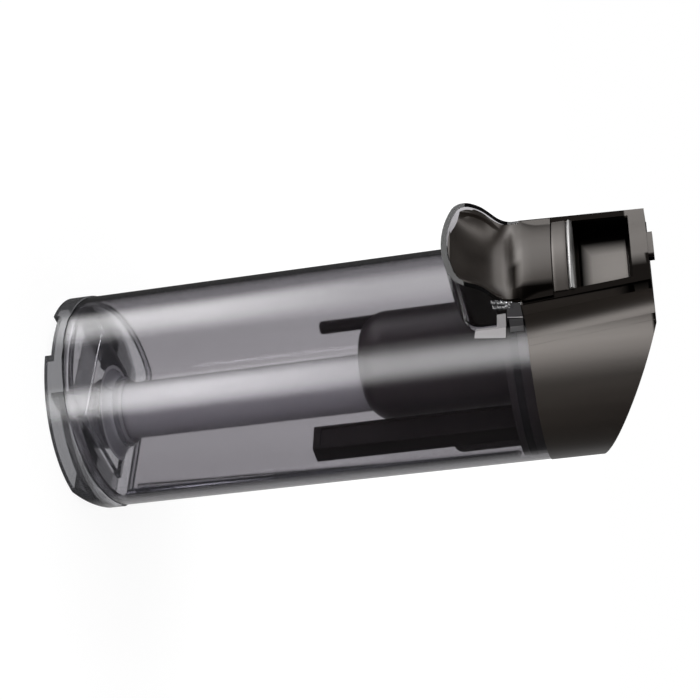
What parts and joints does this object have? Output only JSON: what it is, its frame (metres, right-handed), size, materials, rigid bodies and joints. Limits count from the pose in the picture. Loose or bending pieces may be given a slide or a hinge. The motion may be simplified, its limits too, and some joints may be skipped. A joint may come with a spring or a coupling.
{
  "type": "dirty water tank",
  "caption": "Clear D-shaped dirty water tank of an upright floor washer, with riser pipe, base inlet, finger scoop and a lift-off head that holds hood, float, filter and latch.",
  "frame": {"origin": "centre of the inlet bore's mouth, on the plane that the tank stands on", "axes": "+Z along the tank from base to head, -Y towards the finger scoop, +Y towards the flat back"},
  "size_m": [0.1018, 0.1047, 0.2744],
  "materials": {
    "clear": "clear smoke-grey moulded plastic, polished",
    "clear_base": "clear moulded plastic, polished",
    "clear_pipe": "clear moulded plastic, slightly milky",
    "rubber": "soft rubber",
    "bronze": "dark bronze moulded plastic, satin",
    "bronze_inner": "dark bronze moulded plastic, satin",
    "silver": "bright plated strip",
    "float_dark": "dark moulded plastic",
    "filter_dark": "dark moulded plastic",
    "filter_cloth": "pleated filter sheet",
    "panel": "pale grey moulded plastic",
    "steel": "plain steel"
  },
  "bodies": {
    "tank": {"tank_shell": "clear", "base_cap": "clear_base", "inlet_socket": "clear_pipe", "inlet_seal": "rubber", "riser_tube": "clear_pipe"},
    "head": {"head_housing": "bronze", "grip_liner": "bronze", "grip_neck": "bronze", "ring_band": "bronze", "trim_strip": "silver", "lid_plug": "bronze_inner", "rim_seal": "rubber", "plug_screws": "steel", "separator_hood": "bronze_inner", "valve_plate": "bronze_inner", "latch_bracket": "bronze_inner"},
    "float": {"float_chamber": "float_dark", "float_rod": "float_dark", "float_yoke": "float_dark", "float_seal": "rubber"},
    "latch": {"latch_panel": "panel", "latch_spring_left": "steel", "latch_spring_right": "steel"},
    "filter": {"filter_frame": "filter_dark", "filter_pleats": "filter_cloth", "filter_gasket": "rubber"}
  },
  "joints": [
    {"name": "head_lift", "type": "slide", "parent": "tank", "child": "head", "axis": [0, 0, 1], "range_m": [0, 0.11]},
    {"name": "float_rise", "type": "slide", "parent": "head", "child": "float", "axis": [0, 0, 1], "range_m": [0, 0.006]},
    {"name": "panel_press", "type": "slide", "parent": "head", "child": "latch", "axis": [0, 1, 0], "range_m": [0, 0.003], "stiffness_N_per_m": 500, "deforming": ["latch_spring_left", "latch_spring_right"]},
    {"name": "filter_pull", "type": "slide", "parent": "head", "child": "filter", "axis": [0, 0.403, 0.9152], "range_m": [0, 0.03]}
  ]
}
